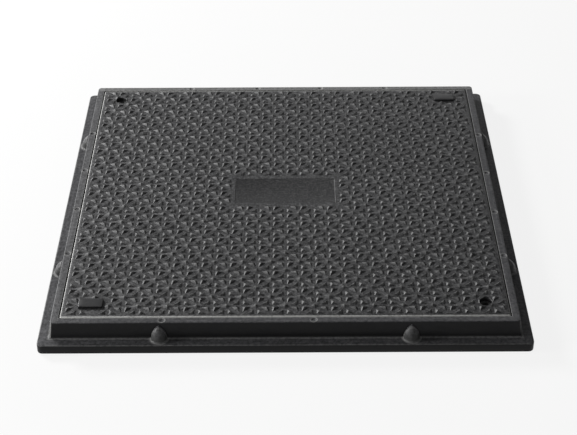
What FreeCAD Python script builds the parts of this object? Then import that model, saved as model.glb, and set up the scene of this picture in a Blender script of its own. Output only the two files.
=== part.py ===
# Square inspection cover in its frame, both moulded in glass-filled composite.
# The cover lies loose on the frame's seat, and two screws hold it down at opposite corners.
# Units are millimetres. The origin is the centre of the frame's underside, with +Z up.

import FreeCAD, Part
import math
import os

from FreeCAD import Rotation, Vector

# Frame
clear_opening = 600.0        # free way through the frame, side to side
seat_width = 20.0            # ledge that the cover lies on
seat_depth = 22.0            # from the rim down to the seat
ledge_thickness = 9.0
wall_thickness = 11.0        # at the rim
wall_draft = 3.0             # wall's foot, out past the rim
frame_height = 40.0
flange_reach = 19.0          # bedding flange, out from the rim
flange_thickness = 14.0
flange_corner = 8.0
flange_chamfer = 1.5
wall_corner = 5.0
rim_chamfer = 1.2
gusset_places = (-178.0, 178.0)
gusset_radius = 12.5         # blunt half-cone gussets on the outside of the wall
gusset_shoulder = 7.0        # radius where the top draws in
gusset_crown = 8.0           # from the shoulder up to the tip
gusset_drop = 4.0            # from the rim down to the tip
gusset_sides = 16            # flats of the full cone
web_places = (-178.0, -59.0, 59.0, 178.0)
web_thickness = 6.0          # webs under the ledge
web_toe = 3.0                # free edge of the ledge left past a web

# Cover
edge_gap = 1.5               # cover's edge to the frame's wall
cover_corner = 2.0
edge_chamfer = 1.5
plate_thickness = 8.0
rib_margin = 9.0             # pockets' outer edges inside the clear opening
rib_thickness = 6.0          # ribs end level with the cover's seating edge
pocket_limit = 68.0          # widest pocket between two ribs

# Tread
stud_pitch = 21.0            # side of one square of the pattern
stud_height = 2.6
diamond_height = 2.4
apex_offset = 5.0            # stud's top from the corner of its square, both ways
tread_margin = 1.0           # least plain border inside the chamfer
tread_bed = 2.0              # depth to which the pattern is worked into the plate

# Plain panel at the middle of the tread
panel_length = 168.0
panel_width = 92.0
panel_depth = 1.5

# Lifting slots and their plugs
plug_inset_x = 41.0          # plug's centre from the cover's edges
plug_inset_y = 30.0
plug_length = 35.0
plug_width = 20.0
plug_proud = 3.8
plug_sink = 2.0
plug_corner = 2.0
plug_chamfer = 1.0
plug_lip = 4.0               # plug's head past its stem, all round
stem_depth = 14.0
stem_chamfer = 1.5
plug_clearance = 0.2

# Locking screws, M10 socket head, and their inserts
screw_inset = 32.0           # screw's centre from the cover's edges
thread_radius = 5.0
thread_clearance = 0.15
screw_length = 20.0
head_radius = 8.0
head_height = 10.0
key_width = 8.0              # across the flats of the hexagon socket
key_depth = 5.0
counterbore_radius = 9.0
counterbore_depth = 15.0
shank_hole_radius = 5.5
insert_width = 14.0          # across the flats of the hexagon insert
insert_length = 13.0
insert_clearance = 0.05
lug_wall = 8.0               # frame's corner lug round the insert
lug_corner = 8.0

# Places that follow from the sizes above
overlap = 1.0                # how far joined or cutting shapes run into each other
clear_half = clear_opening / 2
wall_inner = clear_half + seat_width
wall_outer = wall_inner + wall_thickness
flange_outer = wall_outer + flange_reach
seat_top = frame_height - seat_depth
ledge_bottom = seat_top - ledge_thickness
cover_half = wall_inner - edge_gap
cover_top = frame_height
plate_bottom = cover_top - plate_thickness
screw_place = cover_half - screw_inset
head_seat = cover_top - counterbore_depth
lug_inner = screw_place - insert_width / 2 - lug_wall
lug_bottom = seat_top - insert_length
half_squares = int((cover_half - edge_chamfer - tread_margin) / stud_pitch)
tread_half = half_squares * stud_pitch
above_all = cover_top + plug_proud + overlap

upward = Vector(0, 0, 1)


def is_upright(edge):
    start = edge.Vertexes[0].Point
    end = edge.Vertexes[-1].Point
    return math.hypot(end.x - start.x, end.y - start.y) < 1e-6 < abs(end.z - start.z)


def edges_at(shape, height):
    return [edge for edge in shape.Edges
            if all(abs(vertex.Z - height) < 1e-6 for vertex in edge.Vertexes)]


def plain_block(half_x, half_y, bottom, top):
    # Upright block about the Z axis.
    return Part.makeBox(2 * half_x, 2 * half_y, top - bottom, Vector(-half_x, -half_y, bottom))


def rounded_square(half, corner, bottom, top):
    block = plain_block(half, half, bottom, top)
    return block.makeFillet(corner, [edge for edge in block.Edges if is_upright(edge)])


def rounded_outline(half, corner, height):
    # Closed outline of a rounded square, level at a height.
    block = rounded_square(half, corner, height, height + overlap)
    return next(face.OuterWire for face in block.Faces if len(edges_at(face, height)) == len(face.Edges))


def cut_corner_block(half_x, half_y, corner, bottom, top):
    block = plain_block(half_x, half_y, bottom, top)
    return block.makeChamfer(corner, [edge for edge in block.Edges if is_upright(edge)])


def hexagon_bar(across_flats, bottom, top):
    # Upright six-sided bar about the Z axis.
    spoke = Vector(across_flats / math.sqrt(3), 0, bottom)
    corners = [Rotation(upward, angle).multVec(spoke) for angle in range(0, 361, 60)]
    return Part.Face(Part.makePolygon(corners)).extrude(Vector(0, 0, top - bottom))


def moved(shape, x, y):
    copy = shape.copy()
    copy.translate(Vector(x, y, 0))
    return copy


def turned(shape, angle):
    copy = shape.copy()
    copy.rotate(Vector(0, 0, 0), upward, angle)
    return copy


def on_four_sides(shapes):
    return [turned(shape, angle) for angle in (0, 90, 180, 270) for shape in shapes]


def at_two_corners(shape):
    # Two copies, half a turn apart.
    return [shape, turned(shape, 180)]


def wall_face(height):
    # How far out the wall's drafted face is, at a height above the flange or below it.
    return wall_outer + wall_draft * (frame_height - height) / (frame_height - flange_thickness)


def drafted_wall():
    # Widest at the bottom, with a chamfered rim: straight between three level outlines.
    shoulder = frame_height - rim_chamfer
    levels = [(wall_face(0), 0), (wall_face(shoulder), shoulder), (wall_outer - rim_chamfer, frame_height)]
    return Part.makeLoft([rounded_outline(half, wall_corner, height) for half, height in levels], True, True)


def make_gusset(place):
    # Half a blunt cone that leans on the right-hand wall, widest on the flange and worked in flats.
    tip_height = frame_height - gusset_drop
    spokes = [Rotation(upward, step * 360 / gusset_sides) for step in range(gusset_sides + 1)]
    rings = []
    for radius, height in ((gusset_radius, flange_thickness), (gusset_shoulder, tip_height - gusset_crown)):
        middle = Vector(wall_face(height), place, height)
        rings.append([middle + spoke.multVec(Vector(radius, 0, 0)) for spoke in spokes])
    foot, shoulder = rings
    tip = Vector(wall_face(tip_height), place, tip_height)
    flats = [[foot[step], foot[step + 1], shoulder[step + 1], shoulder[step], foot[step]]
             for step in range(gusset_sides)]
    flats += [[start, end, tip, start] for start, end in zip(shoulder, shoulder[1:])]
    cone = Part.Solid(Part.Shell([Part.Face(Part.makePolygon(outline)) for outline in flats + [foot]]))
    outside = Part.makeBox(gusset_radius + wall_thickness, 2 * gusset_radius, tip_height - flange_thickness,
                           Vector(wall_outer - wall_thickness / 2, place - gusset_radius, flange_thickness))
    return cone.common(outside)


def make_web(place):
    # Three-cornered web that holds the ledge up from the right-hand wall.
    back = wall_inner + overlap
    roof = ledge_bottom + overlap
    side = place - web_thickness / 2
    outline = [Vector(back, side, 0), Vector(back, side, roof),
               Vector(clear_half + web_toe, side, roof), Vector(back, side, 0)]
    return Part.Face(Part.makePolygon(outline)).extrude(Vector(0, web_thickness, 0))


def make_lug():
    # Solid corner under the seat that holds one insert, far-left corner.
    side = wall_inner + overlap - lug_inner
    lug = Part.makeBox(side, side, seat_top - lug_bottom, Vector(lug_inner, lug_inner, lug_bottom))
    inner = [edge for edge in lug.Edges
             if is_upright(edge) and edge.Vertexes[0].X + edge.Vertexes[0].Y < 2 * lug_inner + overlap]
    return turned(lug.makeFillet(lug_corner, inner), 90)


def make_frame():
    flange = rounded_square(flange_outer, flange_corner, 0, flange_thickness)
    flange = flange.makeChamfer(flange_chamfer, edges_at(flange, flange_thickness))
    wall = drafted_wall()
    cover_pocket = plain_block(wall_inner, wall_inner, seat_top, frame_height + overlap)
    opening = plain_block(clear_half, clear_half, -overlap, frame_height)
    under_ledge = plain_block(wall_inner, wall_inner, -overlap, ledge_bottom)
    frame = flange.fuse(wall).cut([cover_pocket, opening, under_ledge])
    gussets = on_four_sides([make_gusset(place) for place in gusset_places])
    webs = on_four_sides([make_web(place) for place in web_places])
    frame = frame.fuse(gussets + webs + at_two_corners(make_lug()))
    insert_hole = moved(hexagon_bar(insert_width + 2 * insert_clearance, lug_bottom - overlap,
                                    seat_top + overlap), -screw_place, screw_place)
    return frame.cut(at_two_corners(insert_hole)).removeSplitter()


def tread_point(column, row):
    # Corner of the pattern's squares: every other one is the top of a low diamond.
    inside = max(abs(column), abs(row)) < half_squares
    height = diamond_height if inside and (column + row) % 2 == 0 else 0.0
    return Vector(column * stud_pitch, row * stud_pitch, cover_top + height)


def tread_square(column, row):
    # One square of the tread: two three-cornered studs with a channel along one diagonal.
    corners = [tread_point(column, row), tread_point(column + 1, row),
               tread_point(column + 1, row + 1), tread_point(column, row + 1)]
    centre = Vector((column + 0.5) * stud_pitch, (row + 0.5) * stud_pitch, cover_top)
    first_stud = 1 if (column + row) % 2 == 0 else 0
    triangles = []
    for stud in (first_stud, first_stud + 2):
        before, low, after = corners[stud - 1], corners[stud], corners[(stud + 1) % 4]
        reach = 2 * apex_offset / stud_pitch
        apex = Vector(low.x + (centre.x - low.x) * reach, low.y + (centre.y - low.y) * reach,
                      cover_top + stud_height)
        triangles += [(apex, before, low), (apex, low, after), (apex, after, centre), (apex, centre, before)]
    return triangles


def make_tread():
    # The whole pattern as one closed slab that fills the bed cut into the plate.
    triangles = []
    for column in range(-half_squares, half_squares):
        for row in range(-half_squares, half_squares):
            triangles += tread_square(column, row)
    bed = cover_top - tread_bed
    rim = [Vector(step * stud_pitch, -tread_half, cover_top) for step in range(-half_squares, half_squares + 1)]
    foot = [Vector(-tread_half, -tread_half, bed), Vector(tread_half, -tread_half, bed)]
    skirt = [(foot[0], end, start) for start, end in zip(rim[:half_squares], rim[1:half_squares + 1])]
    skirt += [(foot[1], end, start) for start, end in zip(rim[half_squares:], rim[half_squares + 1:])]
    skirt.append((foot[0], foot[1], rim[half_squares]))
    for angle in (0, 90, 180, 270):
        spin = Rotation(upward, angle)
        triangles += [tuple(spin.multVec(point) for point in triangle) for triangle in skirt]
    base = [Vector(x * tread_half, y * tread_half, bed) for x, y in ((-1, -1), (1, -1), (1, 1), (-1, 1))]
    triangles += [(base[0], base[2], base[1]), (base[0], base[3], base[2])]
    faces = [Part.Face(Part.makePolygon(list(triangle) + [triangle[0]])) for triangle in triangles]
    shell = Part.makeShell(faces)
    shell.sewShape()
    return Part.Solid(Part.Shell(shell.Faces))


def make_rib_pockets():
    # Square pockets between the ribs, left solid at the four corners.
    field_half = clear_half - rib_margin
    span = 2 * field_half + rib_thickness
    count = math.ceil(span / (pocket_limit + rib_thickness))
    pitch = span / count
    side = pitch - rib_thickness
    pockets = []
    for column in range(count):
        for row in range(count):
            if column in (0, count - 1) and row in (0, count - 1):
                continue
            corner = Vector(column * pitch - field_half, row * pitch - field_half, seat_top - overlap)
            pockets.append(Part.makeBox(side, side, plate_bottom - corner.z, corner))
    return pockets


def make_screw_holes():
    place = Vector(-screw_place, screw_place, head_seat)
    counterbore = Part.makeCylinder(counterbore_radius, above_all - head_seat, place)
    through = Part.makeCylinder(shank_hole_radius, head_seat - seat_top + overlap,
                                Vector(place.x, place.y, seat_top - overlap))
    return at_two_corners(counterbore) + at_two_corners(through)


def at_plug_corners(shape):
    # Near-left and far-right copies of a shape made about the Z axis.
    place = moved(shape, plug_inset_x - cover_half, plug_inset_y - cover_half)
    return at_two_corners(place)


def make_lifting_slots():
    seat = cut_corner_block(plug_length / 2 + plug_clearance, plug_width / 2 + plug_clearance,
                            plug_corner, cover_top - plug_sink, above_all)
    slot = plain_block(plug_length / 2 - plug_lip + plug_clearance,
                       plug_width / 2 - plug_lip + plug_clearance,
                       seat_top - overlap, cover_top)
    return at_plug_corners(seat) + at_plug_corners(slot)


def make_cover():
    plate = cut_corner_block(cover_half, cover_half, cover_corner, seat_top, cover_top)
    plate = plate.makeChamfer(edge_chamfer, edges_at(plate, cover_top))
    bed = plain_block(tread_half, tread_half, cover_top - tread_bed, cover_top + overlap)
    body = plate.cut(make_rib_pockets() + [bed])
    panel = plain_block(panel_length / 2, panel_width / 2, cover_top - panel_depth, above_all)
    return body.fuse(make_tread()).cut([panel] + make_screw_holes() + make_lifting_slots())


def make_plug():
    # Flat cap with a stem that fills the slot below it.
    head_bottom = cover_top - plug_sink
    head_top = cover_top + plug_proud
    head = cut_corner_block(plug_length / 2, plug_width / 2, plug_corner, head_bottom, head_top)
    head = head.makeChamfer(plug_chamfer, edges_at(head, head_top))
    stem_end = head_bottom - stem_depth
    stem = plain_block(plug_length / 2 - plug_lip, plug_width / 2 - plug_lip, stem_end, head_bottom)
    stem = stem.makeChamfer(stem_chamfer, edges_at(stem, stem_end))
    return head.fuse(stem).removeSplitter()


def make_screw():
    # Socket head cap screw at the far-left corner, with a plain shank for its thread.
    head_top = head_seat + head_height
    head = Part.makeCylinder(head_radius, head_height, Vector(0, 0, head_seat))
    shank = Part.makeCylinder(thread_radius - thread_clearance, screw_length,
                              Vector(0, 0, head_seat - screw_length))
    key = hexagon_bar(key_width, head_top - key_depth, head_top + overlap)
    return moved(head.fuse(shank).cut(key), -screw_place, screw_place)


def make_insert():
    # Six-sided threaded sleeve moulded into the far-left lug, flush with the seat.
    sleeve = hexagon_bar(insert_width, lug_bottom, seat_top)
    thread = Part.makeCylinder(thread_radius, insert_length, Vector(0, 0, lug_bottom))
    return moved(sleeve.cut(thread), -screw_place, screw_place)


def write(node, shape):
    shape.exportStep("parts/" + node + ".step")


os.makedirs("parts", exist_ok=True)
near_plug, far_plug = at_plug_corners(make_plug())
write("frame", make_frame())
write("cover", make_cover())
write("near_lifting_plug", near_plug)
write("far_lifting_plug", far_plug)
write("locking_screws", Part.makeCompound(at_two_corners(make_screw())))
write("threaded_inserts", Part.makeCompound(at_two_corners(make_insert())))
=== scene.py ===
import math

import bpy
import numpy as np
from mathutils import Matrix, Vector


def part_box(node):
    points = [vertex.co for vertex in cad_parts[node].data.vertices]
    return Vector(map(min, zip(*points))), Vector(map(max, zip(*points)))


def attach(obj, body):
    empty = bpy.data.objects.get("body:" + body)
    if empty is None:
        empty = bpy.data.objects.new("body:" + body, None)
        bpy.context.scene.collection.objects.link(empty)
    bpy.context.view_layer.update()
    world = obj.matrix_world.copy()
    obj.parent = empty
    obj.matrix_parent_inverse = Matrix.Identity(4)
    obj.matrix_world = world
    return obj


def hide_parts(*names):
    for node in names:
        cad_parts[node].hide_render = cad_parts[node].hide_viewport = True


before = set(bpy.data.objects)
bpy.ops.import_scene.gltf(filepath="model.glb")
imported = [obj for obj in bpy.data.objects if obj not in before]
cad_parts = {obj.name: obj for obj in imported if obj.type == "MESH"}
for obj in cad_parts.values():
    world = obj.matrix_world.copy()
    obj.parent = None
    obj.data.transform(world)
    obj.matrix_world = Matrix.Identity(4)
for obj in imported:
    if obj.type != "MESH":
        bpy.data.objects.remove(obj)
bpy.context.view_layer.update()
print("frame loaded:", sorted(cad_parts))

# every size below is in millimetres, and heights are above the underside of the frame
mm = 0.001
quarterTurns = np.radians([0, 90, 180, 270])
cutPast = 1.0   # a cutting shape runs this far out of the face that it opens
cutOver = 6.0   # and this far above the rim, clear of the studs

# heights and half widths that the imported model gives
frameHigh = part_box("frame")[1]
coverLow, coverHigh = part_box("cover")
plugLow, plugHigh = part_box("near_lifting_plug")
rimHeight = frameHigh.z / mm
flangeHalf = frameHigh.x / mm
coverHalf = coverHigh.x / mm
seatHeight = coverLow.z / mm
studHeight = coverHigh.z / mm - rimHeight
screwHeadRadius = 8.0
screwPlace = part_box("locking_screws")[1].x / mm - screwHeadRadius
screwCentres = [(-screwPlace, screwPlace, 0), (screwPlace, -screwPlace, 0)]


# surfaces

def roundedRings(rows, perCorner):
    # each row (half x, half y, corner radius, height) becomes a level ring round a rectangle:
    # four quarter circles about the corner centres, counter-clockwise, joined by the straight sides
    halfX, halfY, corner, height = (np.asarray(rows, float).T)[:, :, None, None]
    turn = quarterTurns[:, None] + np.linspace(0, math.pi / 2, perCorner)[None, :]
    x = np.array([1, -1, -1, 1])[:, None] * (halfX - corner) + corner * np.cos(turn)
    y = np.array([1, 1, -1, -1])[:, None] * (halfY - corner) + corner * np.sin(turn)
    z = np.broadcast_to(height, x.shape)
    return np.stack([x, y, z], -1).reshape(len(rows), 4 * perCorner, 3)


def turnedRings(rows, segments):
    # each row (radius, height) becomes a level circle: x = r cos t, y = r sin t
    radius, height = (np.asarray(rows, float).T)[:, :, None]
    turn = np.linspace(0, 2 * math.pi, segments, endpoint=False)[None, :]
    x = radius * np.cos(turn)
    return np.stack([x, radius * np.sin(turn), np.broadcast_to(height, x.shape)], -1)


def gridQuads(rowCount, ringCount, joinEnds):
    # quads between neighbouring rings, and from the last ring back to the first if the ends join
    row = np.arange(rowCount if joinEnds else rowCount - 1)[:, None]
    column = np.arange(ringCount)[None, :]
    above = (row + 1) % rowCount * ringCount
    beside = (column + 1) % ringCount
    row = row * ringCount
    return np.stack([row + column, row + beside, above + beside, above + column], -1).reshape(-1, 4)


def closedSurface(rings, joinEnds=False):
    # rings (rows, points, 3) as one closed skin, with flat caps unless the ends join
    rowCount, ringCount = rings.shape[:2]
    faces = gridQuads(rowCount, ringCount, joinEnds).tolist()
    if not joinEnds:
        first = np.arange(ringCount)
        faces += [first[::-1].tolist(), (first + (rowCount - 1) * ringCount).tolist()]
    return rings.reshape(-1, 3), faces


def copiesAt(skin, places, turns=None):
    # one skin at many places: each copy is turned about Z, to x cos t - y sin t and x sin t + y cos t,
    # and then shifted
    points, faces = skin
    places = np.asarray(places, float)
    turns = np.zeros(len(places)) if turns is None else np.asarray(turns, float)
    x, y, z = points.T[:, None, :]
    cos, sin = np.cos(turns)[:, None], np.sin(turns)[:, None]
    turnedX = x * cos - y * sin
    moved = np.stack([turnedX, x * sin + y * cos, np.broadcast_to(z, turnedX.shape)], -1)
    moved += places[:, None, :]
    starts = range(0, len(places) * len(points), len(points))
    allFaces = [[start + corner for corner in face] for start in starts for face in faces]
    return moved.reshape(-1, 3), allFaces


def joined(*skins):
    # several skins in one list of points and faces
    counts = np.cumsum([0] + [len(points) for points, faces in skins])
    faces = [[corner + start for corner in face] for start, skin in zip(counts, skins) for face in skin[1]]
    return np.concatenate([points for points, faces in skins]), faces


def softened(corners, radii, steps):
    # an outline with every corner rounded: from a tangent length before it to one after it,
    # along (1-s)^2 start + 2s(1-s) corner + s^2 end
    corners = np.asarray(corners, float)
    back = np.roll(corners, 1, 0) - corners
    ahead = np.roll(corners, -1, 0) - corners
    back /= np.linalg.norm(back, axis=1, keepdims=True)
    ahead /= np.linalg.norm(ahead, axis=1, keepdims=True)
    opening = np.arccos(np.clip((back * ahead).sum(1), -1, 1))
    length = (np.asarray(radii, float) / np.tan(opening / 2))[:, None]
    start, end = (corners + back * length)[:, None], (corners + ahead * length)[:, None]
    s = np.linspace(0, 1, steps)[None, :, None]
    return ((1 - s) ** 2 * start + 2 * s * (1 - s) * corners[:, None] + s ** 2 * end).reshape(-1, 2)


def makePiece(name, skin):
    points, faces = skin
    mesh = bpy.data.meshes.new(name)
    mesh.from_pydata((points * mm).tolist(), [], faces)
    mesh.update()
    piece = bpy.data.objects.new(name, mesh)
    bpy.context.scene.collection.objects.link(piece)
    return piece


def combine(piece, operation, skin):
    # joins a closed skin to a piece, or cuts it away, and keeps the result as the piece's mesh
    tool = makePiece(piece.name + "_tool", skin)
    modifier = piece.modifiers.new("combine", "BOOLEAN")
    modifier.operation = operation
    modifier.solver = "MANIFOLD"
    modifier.object = tool
    shaped = piece.evaluated_get(bpy.context.evaluated_depsgraph_get())
    mesh = bpy.data.meshes.new_from_object(shaped)
    mesh.name = piece.name
    piece.modifiers.clear()
    piece.data = mesh
    bpy.data.objects.remove(tool)


def finishPiece(piece, material, sharpAngle):
    # one material all over, smooth but for edges sharper than the angle in degrees
    mesh = piece.data
    mesh.materials.clear()
    mesh.materials.append(material)
    mesh.polygons.foreach_set("material_index", np.zeros(len(mesh.polygons), np.int32))
    mesh.polygons.foreach_set("use_smooth", np.ones(len(mesh.polygons), bool))
    mesh.set_sharp_from_angle(angle=math.radians(sharpAngle))
    mesh.update()
    print(piece.name, "triangles:", sum(len(polygon.vertices) - 2 for polygon in mesh.polygons))


# materials

# settings that many nodes share
times = {"operation": "MULTIPLY"}
minus = {"operation": "SUBTRACT"}
lesser = {"operation": "MINIMUM"}
greater = {"operation": "MAXIMUM"}
magnitude = {"operation": "ABSOLUTE"}
smooth = {"interpolation_type": "SMOOTHSTEP"}
tint = {"data_type": "RGBA"}


def colour(hexText):
    # sRGB hex to linear
    channels = np.array([int(hexText[i:i + 2], 16) for i in (1, 3, 5)]) / 255
    linear = np.where(channels <= 0.04045, channels / 12.92, ((channels + 0.055) / 1.055) ** 2.4)
    return (*linear.tolist(), 1.0)


def newMaterial(name):
    material = bpy.data.materials.new(name)
    material.use_nodes = True
    material.node_tree.nodes.clear()
    return material, material.node_tree


def addNode(tree, kind, settings=None, **inputs):
    # one node with its settings; an input is a value, or the socket that feeds it,
    # and goes by its name, or by i and its number
    node = tree.nodes.new(kind)
    for name, value in (settings or {}).items():
        setattr(node, name, value)
    for name, value in inputs.items():
        numbered = name[0] == "i" and name[1:].isdigit()
        socket = node.inputs[int(name[1:]) if numbered else name]
        if isinstance(value, bpy.types.NodeSocket):
            tree.links.new(value, socket)
        else:
            socket.default_value = value
    return node


def perMetre(size):
    # texture scale for features of this size in millimetres
    return 1 / (size * mm)


def limits(values):
    # names the numbered inputs for (from low, from high, to low, to high), or for the first two alone
    return dict(zip(("i1", "i2", "i3", "i4"), values))


# Glass-filled polyester sheet compound, pressed in a steel mould: near black where it is clean,
# satin, and scuffed to a dusty grey on every face that looks up. Bare edges are rubbed pale; pale bands on
# one side only are painted highlight and sheen.
# Tones are (noise from, noise to, least, most).
compositeLook = {
    "clean": "#2b2b2c", "pale": "#dededb",
    "patches": {"size": 70.0, "detail": 4.0, "roughness": 0.6},
    "clumps": {"size": 5.0, "detail": 3.0, "roughness": 0.65},
    "grain": {"size": 2.6, "detail": 2.0, "roughness": 0.7},   # drawn coarser than the real 0.4 mm, to show
    "dustTones": {"patches": (0.3, 0.7, 0.72, 1.0), "clumps": (0.32, 0.68, 0.4, 1.25),
                  "grain": (0.35, 0.65, 0.8, 1.2)},
    "roughTones": (0.3, 0.7, 0.42, 0.58),
    "bumpStrength": 0.12, "bumpHeight": 0.3,
    "facingUp": (0.15, 0.6),       # upward part of the normal where dust starts to lie, and lies in full
    "dustHeights": (12.0, 36.0),   # less dust low down, where no feet reach
    "bandFade": 0.6, "bandTones": (0.35, 0.55, 0.55, 1.0),
}


def edgeBands(tree, look, where, out, clumps):
    # pale edge bands: those on all sides are rubbed edges, those towards one named side are painted
    # highlight and sheen;
    # each band (from, to, lowest height, strength, side) is measured out from the middle on all sides, or
    # only towards the side that it names, and is broken up by the clumps
    towards = {"all": out, "back": where.outputs["Y"]}
    for side, axis in (("front", "Y"), ("left", "X")):
        towards[side] = addNode(tree, "ShaderNodeMath", times, i0=where.outputs[axis], i1=-1.0).outputs[0]
    noiseFrom, noiseTo, least, most = look["bandTones"]
    amounts = []
    for inner, outer, lowest, strength, side in look["bands"]:
        middle, half = (inner + outer) / 2, (outer - inner) / 2
        full = half - min(look["bandFade"], half / 2)
        away = addNode(tree, "ShaderNodeMath", minus, i0=towards[side], i1=middle * mm)
        apart = addNode(tree, "ShaderNodeMath", magnitude, i0=away.outputs[0])
        band = addNode(tree, "ShaderNodeMapRange", smooth, Value=apart.outputs[0], i1=half * mm,
                       i2=full * mm)
        high = addNode(tree, "ShaderNodeMapRange", Value=where.outputs["Z"], i1=lowest * mm,
                       i2=(lowest + look["bandFade"]) * mm)
        both = addNode(tree, "ShaderNodeMath", times, i0=band.outputs["Result"], i1=high.outputs["Result"])
        broken = addNode(tree, "ShaderNodeMapRange", Value=clumps, i1=noiseFrom, i2=noiseTo,
                         i3=least * strength, i4=most * strength)
        amount = addNode(tree, "ShaderNodeMath", times, i0=both.outputs[0], i1=broken.outputs["Result"])
        amounts.append(amount.outputs[0])
    return amounts


def treadWear(tree, look, where, clumps):
    # feet rub the tops of the studs, the more the higher they stand, and unevenly
    top = addNode(tree, "ShaderNodeMapRange", smooth, Value=where.outputs["Z"], i1=look["wornFrom"] * mm,
                  i2=(rimHeight + studHeight) * mm)
    uneven = addNode(tree, "ShaderNodeMapRange", Value=clumps, **limits(look["wearTones"]))
    trodden = addNode(tree, "ShaderNodeMath", times, i0=top.outputs["Result"], i1=uneven.outputs["Result"])
    return trodden.outputs[0]


def paleRing(tree, ring, where, upward):
    # by the distance in plan from the nearest middle, on faces that look up near the ring's own level
    flat = addNode(tree, "ShaderNodeCombineXYZ", X=where.outputs["X"], Y=where.outputs["Y"])
    gaps = [addNode(tree, "ShaderNodeVectorMath", {"operation": "DISTANCE"}, i0=flat.outputs[0],
                    i1=(x * mm, y * mm, 0.0)).outputs["Value"] for x, y, z in ring["centres"]]
    nearest = gaps[0]
    for gap in gaps[1:]:
        nearest = addNode(tree, "ShaderNodeMath", lesser, i0=nearest, i1=gap).outputs[0]
    away = addNode(tree, "ShaderNodeMath", minus, i0=nearest, i1=ring["radius"] * mm)
    apart = addNode(tree, "ShaderNodeMath", magnitude, i0=away.outputs[0])
    onRing = addNode(tree, "ShaderNodeMapRange", smooth, Value=apart.outputs[0], i1=ring["width"] * mm,
                     i2=ring["core"] * mm, i3=0.0, i4=ring["strength"])
    onTop = addNode(tree, "ShaderNodeMath", times, i0=onRing.outputs["Result"], i1=upward)
    level = addNode(tree, "ShaderNodeMath", {"operation": "COMPARE"}, i0=where.outputs["Z"],
                    i1=ring["level"] * mm, i2=ring["reach"] * mm)
    there = addNode(tree, "ShaderNodeMath", times, i0=onTop.outputs[0], i1=level.outputs[0])
    return there.outputs[0]


def chafedAndLitCorner(tree, corner, where, spans, upward):
    # the wall's upright corner near left, rubbed pale and painted with a highlight on the one corner that
    # faces the light:
    # |x| and |y| nearly equal, x and y both negative, on a face that doesn't look up
    skew = addNode(tree, "ShaderNodeMath", minus, i0=spans[0], i1=spans[1])
    apart = addNode(tree, "ShaderNodeMath", magnitude, i0=skew.outputs[0])
    onCorner = addNode(tree, "ShaderNodeMapRange", smooth, Value=apart.outputs[0], i1=corner["width"] * mm,
                       i2=corner["core"] * mm, i3=0.0, i4=corner["strength"])
    upright = addNode(tree, "ShaderNodeMath", minus, i0=1.0, i1=upward)
    across = addNode(tree, "ShaderNodeMath", {"operation": "ADD"}, i0=where.outputs["X"],
                     i1=where.outputs["Y"])
    nearLeft = addNode(tree, "ShaderNodeMath", {"operation": "LESS_THAN"}, i0=across.outputs[0],
                       i1=corner["acrossTo"] * mm)
    onWall = addNode(tree, "ShaderNodeMath", {"operation": "GREATER_THAN"}, i0=where.outputs["Z"],
                     i1=corner["highFrom"] * mm)
    amount = onCorner.outputs["Result"]
    for share in (upright, nearLeft, onWall):
        amount = addNode(tree, "ShaderNodeMath", times, i0=amount, i1=share.outputs[0]).outputs[0]
    return amount


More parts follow.
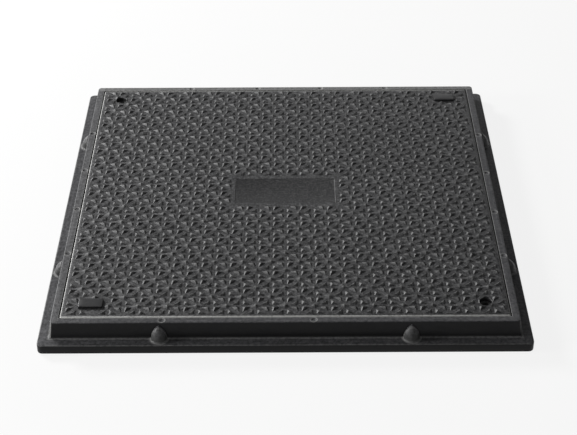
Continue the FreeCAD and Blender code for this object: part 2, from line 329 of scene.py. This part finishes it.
def mouldedComposite(name, look):
    material, tree = newMaterial(name)
    place = addNode(tree, "ShaderNodeTexCoord")
    where = addNode(tree, "ShaderNodeSeparateXYZ", Vector=place.outputs["Object"])
    facing = addNode(tree, "ShaderNodeSeparateXYZ", Vector=place.outputs["Normal"])
    noise = {}
    for kind in ("patches", "clumps", "grain"):
        noise[kind] = addNode(tree, "ShaderNodeTexNoise", Vector=place.outputs["Object"],
                              Scale=perMetre(look[kind]["size"]), Detail=look[kind]["detail"],
                              Roughness=look[kind]["roughness"]).outputs["Fac"]
    # distance out from the middle, the larger of |x| and |y|
    spans = [addNode(tree, "ShaderNodeMath", magnitude, i0=where.outputs[axis]).outputs[0] for axis in "XY"]
    out = addNode(tree, "ShaderNodeMath", greater, i0=spans[0], i1=spans[1]).outputs[0]
    # dust on what looks up, thinner low down, in patches, clumps and grain
    upward = addNode(tree, "ShaderNodeMapRange", smooth, Value=facing.outputs["Z"],
                     **limits(look["facingUp"])).outputs["Result"]
    lowest, full = look["dustHeights"]
    reached = addNode(tree, "ShaderNodeMapRange", Value=where.outputs["Z"], i1=lowest * mm, i2=full * mm,
                      i3=look["lowDust"], i4=1.0)
    dust = addNode(tree, "ShaderNodeMath", times, i0=upward, i1=reached.outputs["Result"]).outputs[0]
    for kind, tones in look["dustTones"].items():
        uneven = addNode(tree, "ShaderNodeMapRange", Value=noise[kind], **limits(tones))
        dust = addNode(tree, "ShaderNodeMath", times, i0=dust, i1=uneven.outputs["Result"]).outputs[0]
    if "streaks" in look:
        # wiped streaks that run along each side, where the smaller of |x| and |y| is the way along
        streaks = look["streaks"]
        along = addNode(tree, "ShaderNodeMath", lesser, i0=spans[0], i1=spans[1])
        squeezed = addNode(tree, "ShaderNodeMath", {"operation": "DIVIDE"}, i0=along.outputs[0],
                           i1=streaks["stretch"])
        run = addNode(tree, "ShaderNodeCombineXYZ", X=squeezed.outputs[0], Y=out, Z=where.outputs["Z"])
        wisps = addNode(tree, "ShaderNodeTexNoise", Vector=run.outputs[0], Scale=perMetre(streaks["size"]),
                        Detail=streaks["detail"], Roughness=streaks["roughness"])
        wiped = addNode(tree, "ShaderNodeMapRange", Value=wisps.outputs["Fac"], **limits(streaks["tones"]))
        dust = addNode(tree, "ShaderNodeMath", times, i0=dust, i1=wiped.outputs["Result"]).outputs[0]
    body = addNode(tree, "ShaderNodeMix", tint, Factor=dust, i6=colour(look["clean"]),
                   i7=colour(look["scuffed"]))
    # what is rubbed pale, and the painted highlights and sheen, one layer over another
    layers = [treadWear(tree, look, where, noise["clumps"])] if "wornFrom" in look else []
    layers += edgeBands(tree, look, where, out, noise["clumps"])
    layers += [paleRing(tree, ring, where, upward) for ring in look.get("rings", ())]
    if "corner" in look:
        layers.append(chafedAndLitCorner(tree, look["corner"], where, spans, upward))
    finish = body.outputs["Result"]
    for amount in layers:
        paleLayer = addNode(tree, "ShaderNodeMix", tint, Factor=amount, i6=finish, i7=colour(look["pale"]))
        finish = paleLayer.outputs["Result"]
    rough = addNode(tree, "ShaderNodeMapRange", Value=noise["clumps"], **limits(look["roughTones"]))
    bump = addNode(tree, "ShaderNodeBump", Strength=look["bumpStrength"], Distance=look["bumpHeight"] * mm,
                   Height=noise["grain"])
    shader = addNode(tree, "ShaderNodeBsdfPrincipled", Roughness=rough.outputs["Result"],
                     Normal=bump.outputs["Normal"],
                     **{"Base Color": finish, "Specular IOR Level": look["specular"]})
    addNode(tree, "ShaderNodeOutputMaterial", Surface=shader.outputs[0])
    return material


# Polypropylene cap, injection moulded: smooth and satin, dark, with fine scratches along it.
plugLook = {
    "clean": "#262627", "scuffed": "#363637", "roughness": 0.4, "facingUp": (0.2, 0.8),
    "scratches": {"size": 9.0, "stretch": 9.0, "detail": 4.0, "roughness": 0.7,
                  "tones": (0.3, 0.7, 0.55, 1.0)},
}


def plugPlastic(look):
    material, tree = newMaterial("capPolypropylene")
    scratches = look["scratches"]
    place = addNode(tree, "ShaderNodeTexCoord")
    lengthwise = addNode(tree, "ShaderNodeMapping", Vector=place.outputs["Object"],
                         Scale=(1.0, scratches["stretch"], 1.0))
    fine = addNode(tree, "ShaderNodeTexNoise", Vector=lengthwise.outputs["Vector"],
                   Scale=perMetre(scratches["size"]), Detail=scratches["detail"],
                   Roughness=scratches["roughness"])
    facing = addNode(tree, "ShaderNodeSeparateXYZ", Vector=place.outputs["Normal"])
    upward = addNode(tree, "ShaderNodeMapRange", smooth, Value=facing.outputs["Z"],
                     **limits(look["facingUp"]))
    worn = addNode(tree, "ShaderNodeMapRange", Value=fine.outputs["Fac"], **limits(scratches["tones"]))
    scuffed = addNode(tree, "ShaderNodeMath", times, i0=worn.outputs["Result"], i1=upward.outputs["Result"])
    body = addNode(tree, "ShaderNodeMix", tint, Factor=scuffed.outputs[0], i6=colour(look["clean"]),
                   i7=colour(look["scuffed"]))
    shader = addNode(tree, "ShaderNodeBsdfPrincipled", Roughness=look["roughness"],
                     **{"Base Color": body.outputs["Result"]})
    addNode(tree, "ShaderNodeOutputMaterial", Surface=shader.outputs[0])
    return material


# Zinc-plated steel screws, gone dull and spotted in the damp, and turned brass inserts.
fastenerLooks = {
    "dulledZincSteel": {"bright": "#77787a", "dull": "#3f3d3a", "metallic": 0.8, "roughness": 0.5,
                        "spots": {"size": 3.0, "detail": 5.0, "roughness": 0.65, "tones": (0.35, 0.65)}},
    "turnedBrass": {"bright": "#b99a55", "dull": "#6d5630", "metallic": 1.0, "roughness": 0.35,
                    "spots": {"size": 4.0, "detail": 5.0, "roughness": 0.65, "tones": (0.35, 0.65)}},
}


def fastenerMetal(name):
    look = fastenerLooks[name]
    spots = look["spots"]
    material, tree = newMaterial(name)
    place = addNode(tree, "ShaderNodeTexCoord")
    damp = addNode(tree, "ShaderNodeTexNoise", Vector=place.outputs["Object"],
                   Scale=perMetre(spots["size"]), Detail=spots["detail"], Roughness=spots["roughness"])
    spotty = addNode(tree, "ShaderNodeMapRange", Value=damp.outputs["Fac"], **limits(spots["tones"]))
    body = addNode(tree, "ShaderNodeMix", tint, Factor=spotty.outputs["Result"], i6=colour(look["bright"]),
                   i7=colour(look["dull"]))
    shader = addNode(tree, "ShaderNodeBsdfPrincipled", Metallic=look["metallic"],
                     Roughness=look["roughness"], **{"Base Color": body.outputs["Result"]})
    addNode(tree, "ShaderNodeOutputMaterial", Surface=shader.outputs[0])
    return material


# camera, where the photograph was taken from

cameraSet = {
    "place": (6.7, -1911.3, 1321.6), "lookDown": 34.906, "yaw": 0.05, "roll": -0.296,
    "focalPixels": 1447.1, "imageWidth": 577, "sensorWidth": 36.0,
}


def placeCamera(look):
    camera = bpy.data.cameras.new("photoCamera")
    camera.sensor_fit = "HORIZONTAL"
    camera.sensor_width = look["sensorWidth"]
    camera.lens = look["focalPixels"] / look["imageWidth"] * look["sensorWidth"]
    holder = bpy.data.objects.new("photoCamera", camera)
    bpy.context.scene.collection.objects.link(holder)
    turn = (Matrix.Rotation(math.radians(look["yaw"]), 4, "Z")
            @ Matrix.Rotation(math.radians(90 - look["lookDown"]), 4, "X")
            @ Matrix.Rotation(math.radians(look["roll"]), 4, "Z"))
    holder.matrix_world = Matrix.Translation(Vector(look["place"]) * mm) @ turn
    bpy.context.scene.camera = holder


placeCamera(cameraSet)
print("camera placed")

# caps in the lifting slots, sized by their solids

plugCentre = (plugLow + plugHigh) / 2 / mm
plugSize = {
    "headHalf": ((plugHigh.x - plugLow.x) / 2 / mm, (plugHigh.y - plugLow.y) / 2 / mm),
    "seat": 38.0, "top": plugHigh.z / mm, "corner": 2.0, "underEdge": 0.3,
    "edgeRound": 1.2, "edgeTurns": (0, 22, 45, 67, 90), "crown": 0.25, "crownShare": (1 / 2, 1 / 3),
    "stemHalf": (13.5, 6.0), "stemLow": plugLow.z / mm, "stemTaper": (1.2, 2.4), "stemCorner": 0.8,
    "slotCorner": 1.0, "clearance": 0.2, "cornerSteps": 5, "sharpAngle": 40,
    "bareRound": 4.0,   # no stud's middle stands nearer to the cap than this
    "places": [(plugCentre.x, plugCentre.y, 0), (-plugCentre.x, -plugCentre.y, 0)],
    "turns": [0.0, math.pi],
}


def plugSkin(size):
    # rings up the stem, out under the head and over its rounded edge to a slightly crowned top
    stemX, stemY = size["stemHalf"]
    headX, headY = size["headHalf"]
    taper, taperHeight = size["stemTaper"]
    under, soft = size["underEdge"], size["edgeRound"]
    rows = [(stemX - taper, stemY - taper, size["stemCorner"], size["stemLow"]),
            (stemX, stemY, size["stemCorner"], size["stemLow"] + taperHeight),
            (stemX, stemY, size["stemCorner"], size["seat"]),
            (headX - under, headY - under, size["corner"], size["seat"]),
            (headX, headY, size["corner"], size["seat"] + under)]
    shoulder = size["top"] - size["crown"] - soft
    for turn in np.radians(size["edgeTurns"]):
        inset = soft * (1 - math.cos(turn))
        rows.append((headX - inset, headY - inset, size["corner"], shoulder + soft * math.sin(turn)))
    shareX, shareY = size["crownShare"]
    rows.append((headX * shareX, headY * shareY, size["corner"], size["top"]))
    return closedSurface(roundedRings(rows, size["cornerSteps"]))


# cover with its tread

coverSize = {
    "corner": 2.0, "footRound": 0.8, "perCorner": 5, "sharpAngle": 25,
    "edgeChamfer": 1.6, "edgeShares": ((0.0, 1.0), (0.25, 0.55), (0.6, 0.2), (1.0, 0.0)),   # inset and drop
    "plate": 8.0, "rib": 6.0,
    "pocketField": 291.0, "pocketCount": 8, "pocketDraft": 1.0, "pocketCorner": 4.0, "pocketSteps": 3,
    "panel": (79.5, 35.0), "panelBorder": (87.0, 45.0), "panelDepth": 0.6, "panelCorner": 1.5,
    "panelDraft": 1.0, "panelSteps": 5,
    "boreRadius": 9.0, "shankRadius": 5.5, "headSeat": 25.0, "boreLip": 0.7, "boreSegments": 40,
}
treadSize = {
    "square": 21.0, "halfSquares": 15,
    "studCorner": 2.6, "studLeg": 11.0, "studTop": 5.7, "studRound": 0.5,
    "diamondHalf": 6.4, "diamondRise": 0.92, "diamondRound": 0.5,
    "ringShares": (1.0, 1.0, 0.5, 0.14), "ringRises": (0.0, 0.0, 0.52, 0.93),   # blunted at the tip
    "cornerSteps": 3, "sunk": 0.4,
}


def plateSkin(size):
    # rings from the rounded foot up the side and over the worn edge to the top
    chamfer = size["edgeChamfer"]
    rows = [(coverHalf - size["footRound"], seatHeight), (coverHalf, seatHeight + size["footRound"])]
    rows += [(coverHalf - inset * chamfer, rimHeight - drop * chamfer)
             for inset, drop in size["edgeShares"]]
    return closedSurface(roundedRings([(half, half, size["corner"], height) for half, height in rows],
                                      size["perCorner"]))


def pyramidSkin(outline, top, rise, size):
    # rings from the sunk outline to its top point: scale s about the top, at a share of the rise
    scale = np.array(size["ringShares"])
    height = rise * np.array(size["ringRises"])
    height[0] -= size["sunk"]
    flat = top + scale[:, None, None] * (outline[None] - top)
    rings = np.concatenate([flat, np.broadcast_to(height[:, None, None], flat.shape[:2] + (1,))], -1)
    return closedSurface(rings)


def clearOf(points, boxes):
    # true for points that lie in none of the boxes (centre x, centre y, half x, half y)
    centre, half = np.split(np.asarray(boxes, float), 2, axis=1)
    return ~(np.abs(points[:, None] - centre[None]) < half[None]).all(-1).any(-1)


def treadSkin(size, bareBoxes):
    # lattice of square corners: odd ones are bare crossings with a stud in each quarter,
    # even ones carry a low diamond; neither stands in a bare box
    steps = np.arange(-size["halfSquares"], size["halfSquares"] + 1)
    column, row = (part.ravel() for part in np.meshgrid(steps, steps, indexing="ij"))
    lattice = np.stack([column, row], 1) * size["square"]
    odd = (column + row) % 2 == 1
    reach = size["halfSquares"] * size["square"]
    near, leg = size["studCorner"], size["studLeg"]
    outline = softened([(near, near), (near + leg, near), (near, near + leg)],
                       [size["studRound"]] * 3, size["cornerSteps"])
    stud = pyramidSkin(outline, np.array([size["studTop"], size["studTop"]]), studHeight, size)
    crossings = np.repeat(lattice[odd], 4, 0)
    turns = np.tile(quarterTurns, odd.sum())
    quarter = np.tile(np.array([(1, 1), (-1, 1), (-1, -1), (1, -1)]), (odd.sum(), 1))
    middle = crossings + quarter * (near + leg / 3)
    kept = (np.abs(middle).max(1) < reach) & clearOf(middle, bareBoxes)
    places = np.column_stack([crossings, np.full(len(crossings), rimHeight)])
    studs = copiesAt(stud, places[kept], turns[kept])
    half = size["diamondHalf"]
    outline = softened([(half, 0), (0, half), (-half, 0), (0, -half)],
                       [size["diamondRound"]] * 4, size["cornerSteps"])
    diamond = pyramidSkin(outline, np.zeros(2), studHeight * size["diamondRise"], size)
    tops = lattice[~odd]
    kept = (np.abs(tops).max(1) < reach) & clearOf(tops, bareBoxes)
    places = np.column_stack([tops, np.full(len(tops), rimHeight)])
    return joined(studs, copiesAt(diamond, places[kept]))


def ribPockets(size):
    # rounded pockets between the ribs, drafted, with the four corners left solid
    count, field = size["pocketCount"], size["pocketField"]
    pitch = (2 * field + size["rib"]) / count
    half = (pitch - size["rib"]) / 2
    roof = half - size["pocketDraft"]
    pocket = closedSurface(roundedRings([(half, half, size["pocketCorner"], seatHeight - cutPast),
                                         (roof, roof, size["pocketCorner"], rimHeight - size["plate"])],
                                        size["pocketSteps"]))
    step = np.arange(count)
    column, row = (part.ravel() for part in np.meshgrid(step, step, indexing="ij"))
    ends = (0, count - 1)
    kept = ~(np.isin(column, ends) & np.isin(row, ends))
    centres = np.stack([column, row], 1)[kept] * pitch - field + half
    return copiesAt(pocket, np.column_stack([centres, np.zeros(len(centres))]))


def coverCuts(size, plug):
    # rings of the drafted panel recess, the stepped screw holes with their lips, and the stepped plug slots
    above = rimHeight + cutOver
    halfX, halfY = size["panel"]
    draft = size["panelDraft"]
    panel = closedSurface(roundedRings([
        (halfX - draft, halfY - draft, size["panelCorner"], rimHeight - size["panelDepth"]),
        (halfX, halfY, size["panelCorner"], rimHeight),
        (halfX, halfY, size["panelCorner"], above)], size["panelSteps"]))
    bore, shank, lip = size["boreRadius"], size["shankRadius"], size["boreLip"]
    hole = closedSurface(turnedRings([
        (shank, seatHeight - cutPast), (shank, size["headSeat"]), (bore, size["headSeat"]),
        (bore, rimHeight - lip), (bore + lip, rimHeight), (bore + lip, above)], size["boreSegments"]))
    stemX, stemY = (half + plug["clearance"] for half in plug["stemHalf"])
    headX, headY = (half + plug["clearance"] for half in plug["headHalf"])
    slot = closedSurface(roundedRings([
        (stemX, stemY, plug["slotCorner"], seatHeight - cutPast),
        (stemX, stemY, plug["slotCorner"], plug["seat"]),
        (headX, headY, plug["corner"], plug["seat"]),
        (headX, headY, plug["corner"], above)], plug["cornerSteps"]))
    return joined(panel, copiesAt(hole, screwCentres), copiesAt(slot, plug["places"], plug["turns"]))


# the panel's floor lies below the feet and gathers less dust
coverLook = dict(
    compositeLook, scuffed="#858586", specular=0.4,
    lowDust=0.7, dustHeights=(rimHeight - 0.5, rimHeight - 0.1),
    dustTones=dict(compositeLook["dustTones"], clumps=(0.32, 0.68, 0.0, 1.65),
                   grain=(0.35, 0.65, 0.0, 0.505)),
    wornFrom=rimHeight + 0.5, wearTones=(0.35, 0.65, 0.0, 0.22),
    bands=[(coverHalf - 1.3, coverHalf + 0.3, rimHeight - 1.7, 1.0, "all"),
           # painted highlight: a wider pale band on the front edge, whose chamfer gets little light
           (coverHalf - 2.3, coverHalf + 0.3, rimHeight - 1.7, 1.0, "front"),
           # painted sheen: a paler band along the far edge
           (coverHalf - 3.0, coverHalf + 0.3, rimHeight - 1.7, 0.45, "back")])
bareAround = [half + plugSize["bareRound"] for half in plugSize["headHalf"]]
bareBoxes = [(0, 0, *coverSize["panelBorder"])] + [(x, y, *bareAround) for x, y, z in plugSize["places"]]
treadCover = makePiece("tread_cover", plateSkin(coverSize))
combine(treadCover, "DIFFERENCE", ribPockets(coverSize))
combine(treadCover, "UNION", treadSkin(treadSize, bareBoxes))
combine(treadCover, "DIFFERENCE", coverCuts(coverSize, plugSize))
finishPiece(treadCover, mouldedComposite("pressedCompositeCover", coverLook), coverSize["sharpAngle"])
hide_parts("cover")
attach(treadCover, "root")

capMaterial = plugPlastic(plugLook)
capNames = (("near_cap", "near_lifting_plug"), ("far_cap", "far_lifting_plug"))
for (name, node), place, turn in zip(capNames, plugSize["places"], plugSize["turns"]):
    cap = makePiece(name, copiesAt(plugSkin(plugSize), [place], [turn]))
    finishPiece(cap, capMaterial, plugSize["sharpAngle"])
    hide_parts(node)
    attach(cap, "root")
print("cover and caps made")

# frame

frameSize = {
    "seatInner": 300.0, "wallInner": 320.0, "wallOuter": 331.0, "wallFoot": 334.0,
    "ledge": 9.0, "flangeThick": 14.0,
    "edgeRadii": (0.5, 0.8, 1.6, 2.0, 1.5, 0.5, 0.6, 0.8, 0.8, 1.0),   # in the section's own order
    "cornerAt": (300.0, 320.0, 331.0, 334.0, 350.0), "cornerRadius": (4.0, 3.0, 5.0, 5.0, 8.0),
    "perCorner": 9, "edgeSteps": 5, "sharpAngle": 35,
    "gussetPlaces": (-178.0, 178.0), "gussetRadius": 11.4, "gussetDrop": 4.0, "gussetBulge": 2.6,
    "gussetFlare": (1.6, 1.0), "gussetSunk": 0.6, "gussetSegments": 48,
    "gussetLevels": 14, "gussetTip": 0.995, "gussetCrowding": 1.3,   # rings crowd towards the foot
    "webPlaces": (-178.0, -59.0, 59.0, 178.0), "webThick": 6.0, "webToe": 3.0,
    "webSunk": (1.0, 0.5), "webClear": 0.02,   # into the wall and the ledge, and off the ground
    "markPlaces": (-176.0, -62.0, 49.0, 166.0), "frontMarks": (-174.0, 40.0), "markOut": 325.5,
    # radius of each ring of a mark, and its height off the rim
    "markRows": ((2.4, -1.3), (3.3, -0.5), (4.7, -0.4), (5.05, 0.0), (5.15, 1.0)), "markSegments": 32,
    "lugInner": screwPlace - 15.0, "lugLow": 5.0, "lugCorner": 8.0, "lugSteps": 6,
    "lugSunk": 1.0, "lugClear": 0.02, "insertFlats": 14.1, "insertSides": 6,
}
wallInner, wallOuter, wallFoot = (frameSize[name] for name in ("wallInner", "wallOuter", "wallFoot"))
flangeTop = frameSize["flangeThick"]


def frameRings(size):
    # section of the frame, taken outwards along the underside, up the outside and back down the inside,
    # carried round a square whose corner radius grows from the opening to the flange
    inner, ledgeLow = size["seatInner"], seatHeight - size["ledge"]
    section = softened(
        [(wallInner, 0), (flangeHalf, 0), (flangeHalf, flangeTop), (wallFoot, flangeTop),
         (wallOuter, rimHeight), (wallInner, rimHeight), (wallInner, seatHeight), (inner, seatHeight),
         (inner, ledgeLow), (wallInner, ledgeLow)], size["edgeRadii"], size["edgeSteps"])
    corner = np.interp(section[:, 0], size["cornerAt"], size["cornerRadius"])
    rows = np.column_stack([section[:, 0], section[:, 0], corner, section[:, 1]])
    return roundedRings(rows, size["perCorner"])


def sidePlaces(sideTurns, distance, alongs):
    # points along each side, counter-clockwise, with the turn of their side
    along = np.tile(np.asarray(alongs, float), len(sideTurns))
    turn = np.repeat(sideTurns, len(alongs))
    x = distance * np.cos(turn) - along * np.sin(turn)
    y = distance * np.sin(turn) + along * np.cos(turn)
    return np.column_stack([x, y, np.zeros(len(x))]), turn


def onFourSides(skin, distance, alongs):
    # copies of a skin along every side, each turned to face out
    return copiesAt(skin, *sidePlaces(quarterTurns, distance, alongs))


def markCentres(size):
    # round marks on the rim: the front side shows fewer than the others
    others = sidePlaces(quarterTurns[:3], size["markOut"], size["markPlaces"])[0]
    return np.concatenate([others, sidePlaces(quarterTurns[3:], size["markOut"], size["frontMarks"])[0]])


def gussets(size):
    # blunt half-cones: radius R (1 - s^bulge) up the height s, with a flare a e^(-h/b) at the foot,
    # about an axis that leans with the wall
    high = rimHeight - size["gussetDrop"]
    flare, flareHeight = size["gussetFlare"]
    levels = np.linspace(0, size["gussetTip"], size["gussetLevels"])
    s = np.concatenate([[0.0], levels ** size["gussetCrowding"]])
    height = flangeTop + s * (high - flangeTop)
    radius = size["gussetRadius"] * (1 - s ** size["gussetBulge"])
    radius += flare * np.exp((flangeTop - height) / flareHeight)
    height[0] -= size["gussetSunk"]
    rings = turnedRings(np.column_stack([radius, height]), size["gussetSegments"])
    lean = (wallFoot - wallOuter) / (rimHeight - flangeTop)
    rings[:, :, 0] -= lean * (rings[:, :, 2] - flangeTop)
    return onFourSides(closedSurface(rings), wallFoot, size["gussetPlaces"])


def webs(size):
    # three-cornered webs under the ledge: section (out, height) carried across the web's thickness
    intoWall, intoLedge = size["webSunk"]
    roof = seatHeight - size["ledge"] + intoLedge
    reach = wallInner - size["seatInner"] - size["webToe"]
    section = np.array([(intoWall, size["webClear"]), (intoWall, roof), (-reach, roof)])
    across = np.array([-0.5, 0.5]) * size["webThick"]
    rings = np.stack([np.column_stack([section[:, 0], np.full(len(section), side), section[:, 1]])
                      for side in across[::-1]])
    return onFourSides(closedSurface(rings), wallInner, size["webPlaces"])


def lugs(size):
    # rounded square blocks in the two corners that hold the inserts, sunk into the wall
    half = (wallInner + size["lugSunk"] - size["lugInner"]) / 2
    lug = closedSurface(roundedRings([(half, half, size["lugCorner"], size["lugLow"]),
                                      (half, half, size["lugCorner"], seatHeight - size["lugClear"])],
                                     size["lugSteps"]))
    middle = size["lugInner"] + half
    return copiesAt(lug, [(-middle, middle, 0), (middle, -middle, 0)])


def frameCuts(size):
    # turned marks in the rim, and six-sided holes whose corners stand at flats / sqrt(3) from the middle
    mark = closedSurface(turnedRings([(radius, rimHeight + rise) for radius, rise in size["markRows"]],
                                     size["markSegments"]))
    across = size["insertFlats"] / math.sqrt(3)
    hexagon = closedSurface(turnedRings([(across, size["lugLow"] - cutPast), (across, seatHeight + cutPast)],
                                        size["insertSides"]))
    return joined(copiesAt(mark, markCentres(size)), copiesAt(hexagon, screwCentres))


# the frame's faces are the mould's own smooth finish, not trodden
frameLook = dict(
    compositeLook, clean="#232324", scuffed="#646466", specular=0.16, lowDust=0.85,
    roughTones=(0.3, 0.7, 0.34, 0.5),
    streaks={"size": 2.2, "stretch": 24.0, "detail": 3.0, "roughness": 0.6, "tones": (0.3, 0.7, 0.7, 1.2)},
    bands=[(wallInner - 0.1, wallInner + 0.8, rimHeight - 1.0, 0.25, "all"),
           (wallInner - 0.5, wallOuter + 0.5, rimHeight - 1.6, 0.18, "back"),   # painted sheen: the far rim's top is tinted the palest
           # painted sheen: the left rim's top tinted a little paler
           (wallInner - 0.5, wallOuter + 0.5, rimHeight - 1.6, 0.05, "left"),
           (flangeHalf - 1.8, flangeHalf + 0.1, flangeTop - 1.8, 0.12, "all"),
           (wallFoot - 0.5, wallFoot + 3.0, flangeTop - 0.6, 0.14, "all"),      # dust along the wall's foot
           (wallFoot + 0.4, flangeHalf + 1.0, flangeTop + 0.8, 0.09, "all")],   # grazed gussets
    rings=[{"centres": markCentres(frameSize),
            "radius": 4.8, "width": 1.3, "core": 0.26, "strength": 0.26, "level": rimHeight, "reach": 2.0},
           {"centres": sidePlaces(quarterTurns, wallFoot, frameSize["gussetPlaces"])[0],
            "radius": 13.2, "width": 2.4, "core": 0.48, "strength": 0.2, "level": flangeTop, "reach": 3.0}],
    corner={"width": 2.8, "core": 0.84, "strength": 0.5, "highFrom": flangeTop + 1.0,
            "acrossTo": -rimHeight})
pressedFrame = makePiece("pressed_frame", closedSurface(frameRings(frameSize), joinEnds=True))
combine(pressedFrame, "UNION", gussets(frameSize))
combine(pressedFrame, "UNION", webs(frameSize))
combine(pressedFrame, "UNION", lugs(frameSize))
combine(pressedFrame, "DIFFERENCE", frameCuts(frameSize))
finishPiece(pressedFrame, mouldedComposite("pressedCompositeFrame", frameLook), frameSize["sharpAngle"])
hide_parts("frame")
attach(pressedFrame, "root")
print("frame made")

for node, metal in (("locking_screws", "dulledZincSteel"), ("threaded_inserts", "turnedBrass")):
    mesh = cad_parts[node].data
    mesh.materials.clear()
    mesh.materials.append(fastenerMetal(metal))
print("fasteners finished")

# floor and light, with places and sizes in metres

stageLook = {
    "floorHalf": 9.0, "floorDrop": 0.0002, "seen": "#f4f4f3", "bounce": "#8a8a8a",
    "glow": "#ffffff", "glowStrength": 1.0, "lift": 0.85,
    "lamps": {
        "keyLamp": {"place": (-2.2, 1.75, 1.5), "size": (0.9, 0.6), "power": 94.0},
        "sideLamp": {"place": (-2.1, -0.37, 0.73), "size": (0.5, 0.36), "power": 25.6},
        "backLamp": {"place": (0.5, 3.4, 1.3), "size": (1.6, 0.8), "power": 6.0},
        "frontFill": {"place": (-1.4, -2.4, 2.2), "size": (1.2, 1.2), "power": 4.0},
    },
    "sky": "#ffffff", "skyStrength": 0.12,
}


def makeFloor(look):
    half, low = look["floorHalf"], -look["floorDrop"]
    mesh = bpy.data.meshes.new("floor")
    mesh.from_pydata([(-half, -half, low), (half, -half, low), (half, half, low), (-half, half, low)],
                     [], [(0, 1, 2, 3)])
    floor = bpy.data.objects.new("floor", mesh)
    bpy.context.scene.collection.objects.link(floor)
    # pale painted floor: the eye sees it near white, and it throws back a softer grey
    material, tree = newMaterial("paleFloorPaint")
    ray = addNode(tree, "ShaderNodeLightPath")
    mirrored = addNode(tree, "ShaderNodeMath", greater, i0=ray.outputs["Is Glossy Ray"],
                       i1=ray.outputs["Is Transmission Ray"])
    looked = addNode(tree, "ShaderNodeMath", greater, i0=ray.outputs["Is Camera Ray"],
                     i1=mirrored.outputs[0])
    paint = addNode(tree, "ShaderNodeMix", tint, Factor=looked.outputs[0],
                    i6=colour(look["bounce"]), i7=colour(look["seen"]))
    matt = addNode(tree, "ShaderNodeBsdfDiffuse", Color=paint.outputs["Result"])
    glow = addNode(tree, "ShaderNodeEmission", Color=colour(look["glow"]), Strength=look["glowStrength"])
    seen = addNode(tree, "ShaderNodeMath", times, i0=looked.outputs[0], i1=look["lift"])
    both = addNode(tree, "ShaderNodeMixShader", Fac=seen.outputs[0], i1=matt.outputs[0], i2=glow.outputs[0])
    addNode(tree, "ShaderNodeOutputMaterial", Surface=both.outputs[0])
    mesh.materials.append(material)


def addLamp(name, place, size, power):
    # a rectangle of light that faces the middle of the part
    lamp = bpy.data.lights.new(name, "AREA")
    lamp.shape = "RECTANGLE"
    lamp.size, lamp.size_y = size
    lamp.energy = power
    holder = bpy.data.objects.new(name, lamp)
    bpy.context.scene.collection.objects.link(holder)
    holder.location = place
    holder.rotation_euler = (-Vector(place)).to_track_quat("-Z", "Y").to_euler()


def lightRoom(look):
    for name, lamp in look["lamps"].items():
        addLamp(name, lamp["place"], lamp["size"], lamp["power"])
    world = bpy.data.worlds.new("studio")
    world.use_nodes = True
    background = world.node_tree.nodes["Background"]
    background.inputs["Color"].default_value = colour(look["sky"])
    background.inputs["Strength"].default_value = look["skyStrength"]
    bpy.context.scene.world = world


makeFloor(stageLook)
lightRoom(stageLook)
bpy.context.scene.view_settings.view_transform = "Standard"
print("floor and light set")
